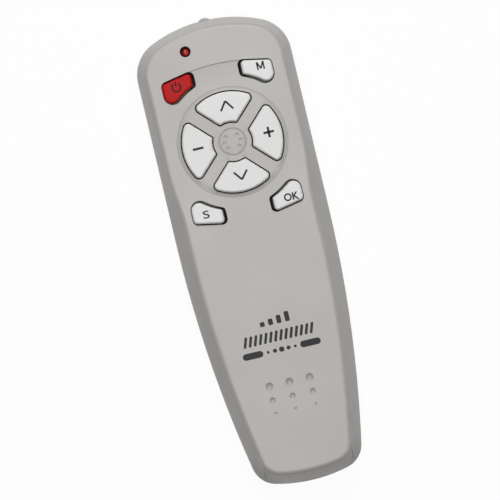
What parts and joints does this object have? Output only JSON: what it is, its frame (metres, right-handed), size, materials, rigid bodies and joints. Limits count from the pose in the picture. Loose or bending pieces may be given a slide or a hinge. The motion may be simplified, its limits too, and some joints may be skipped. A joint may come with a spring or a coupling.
{
  "type": "universal remote control",
  "caption": "Slim hand-held remote control with a round direction pad, corner keys, a head lamp and a sliding battery door.",
  "frame": {"origin": "under the middle of the remote, on the surface that its flat back rests on", "axes": "+X to the right seen from the key face, +Y towards the infrared emitter, +Z out of the key face"},
  "size_m": [0.0496, 0.15, 0.022],
  "materials": {
    "shell_grey": "fine moulded satin, painted warm grey",
    "key_white": "satin white silicone",
    "key_red": "satin red silicone",
    "silicone_grey": "matte moulded silicone",
    "board_green": "solder mask over glass board",
    "carbon_black": "matte carbon",
    "lamp_red": "clear red resin",
    "lamp_smoke": "smoky blue resin",
    "lamp_dark": "dark resin",
    "tinned_wire": "tinned",
    "chip_black": "moulded epoxy",
    "resonator_blue": "dipped resin",
    "capacitor_black": "plastic sleeve",
    "ceramic_tan": "fired ceramic",
    "cell_jacket": "plain printed jacket",
    "contact_plating": "nickel plated spring steel",
    "screw_steel": "zinc plated"
  },
  "bodies": {
    "housing": {"front_shell": "shell_grey", "rear_cover": "shell_grey", "keypad_mat": "silicone_grey", "circuit_board": "board_green", "contact_pads": "carbon_black", "indicator_lamp": "lamp_red", "indicator_legs": "tinned_wire", "infrared_emitter": "lamp_smoke", "emitter_legs": "tinned_wire", "learning_receiver": "lamp_dark", "receiver_legs": "tinned_wire", "controller_chip": "chip_black", "controller_legs": "tinned_wire", "memory_chip": "chip_black", "memory_legs": "tinned_wire", "resonator": "resonator_blue", "storage_capacitor": "capacitor_black", "driver_transistor": "chip_black", "resistors": "chip_black", "small_capacitors": "ceramic_tan", "battery_left": "cell_jacket", "battery_right": "cell_jacket", "positive_contact": "contact_plating", "negative_contact": "contact_plating", "bridge_contact": "contact_plating", "bridge_spring": "contact_plating", "negative_spring": "contact_plating", "board_screws": "screw_steel", "case_screws": "screw_steel", "power_web": "silicone_grey", "mode_web": "silicone_grey", "set_web": "silicone_grey", "ok_web": "silicone_grey", "up_web": "silicone_grey", "minus_web": "silicone_grey", "down_web": "silicone_grey", "plus_web": "silicone_grey"},
    "power_button": {"power_key": "key_red", "power_pill": "carbon_black"},
    "mode_button": {"mode_key": "key_white", "mode_pill": "carbon_black"},
    "set_button": {"set_key": "key_white", "set_pill": "carbon_black"},
    "ok_button": {"ok_key": "key_white", "ok_pill": "carbon_black"},
    "up_button": {"up_key": "key_white", "up_pill": "carbon_black"},
    "minus_button": {"minus_key": "key_white", "minus_pill": "carbon_black"},
    "down_button": {"down_key": "key_white", "down_pill": "carbon_black"},
    "plus_button": {"plus_key": "key_white", "plus_pill": "carbon_black"},
    "door": {"battery_door": "shell_grey"}
  },
  "joints": [
    {"name": "power_press", "type": "slide", "parent": "housing", "child": "power_button", "axis": [0, 0, -1], "range_m": [0, 0.001], "stiffness_N_per_m": 900, "deforming": ["power_web"]},
    {"name": "mode_press", "type": "slide", "parent": "housing", "child": "mode_button", "axis": [0, 0, -1], "range_m": [0, 0.001], "stiffness_N_per_m": 900, "deforming": ["mode_web"]},
    {"name": "set_press", "type": "slide", "parent": "housing", "child": "set_button", "axis": [0, 0, -1], "range_m": [0, 0.001], "stiffness_N_per_m": 900, "deforming": ["set_web"]},
    {"name": "ok_press", "type": "slide", "parent": "housing", "child": "ok_button", "axis": [0, 0, -1], "range_m": [0, 0.001], "stiffness_N_per_m": 900, "deforming": ["ok_web"]},
    {"name": "up_press", "type": "slide", "parent": "housing", "child": "up_button", "axis": [0, 0, -1], "range_m": [0, 0.001], "stiffness_N_per_m": 900, "deforming": ["up_web"]},
    {"name": "minus_press", "type": "slide", "parent": "housing", "child": "minus_button", "axis": [0, 0, -1], "range_m": [0, 0.001], "stiffness_N_per_m": 900, "deforming": ["minus_web"]},
    {"name": "down_press", "type": "slide", "parent": "housing", "child": "down_button", "axis": [0, 0, -1], "range_m": [0, 0.001], "stiffness_N_per_m": 900, "deforming": ["down_web"]},
    {"name": "plus_press", "type": "slide", "parent": "housing", "child": "plus_button", "axis": [0, 0, -1], "range_m": [0, 0.001], "stiffness_N_per_m": 900, "deforming": ["plus_web"]},
    {"name": "door_slide", "type": "slide", "parent": "housing", "child": "door", "axis": [0, -1, 0], "range_m": [0, 0.008]}
  ]
}
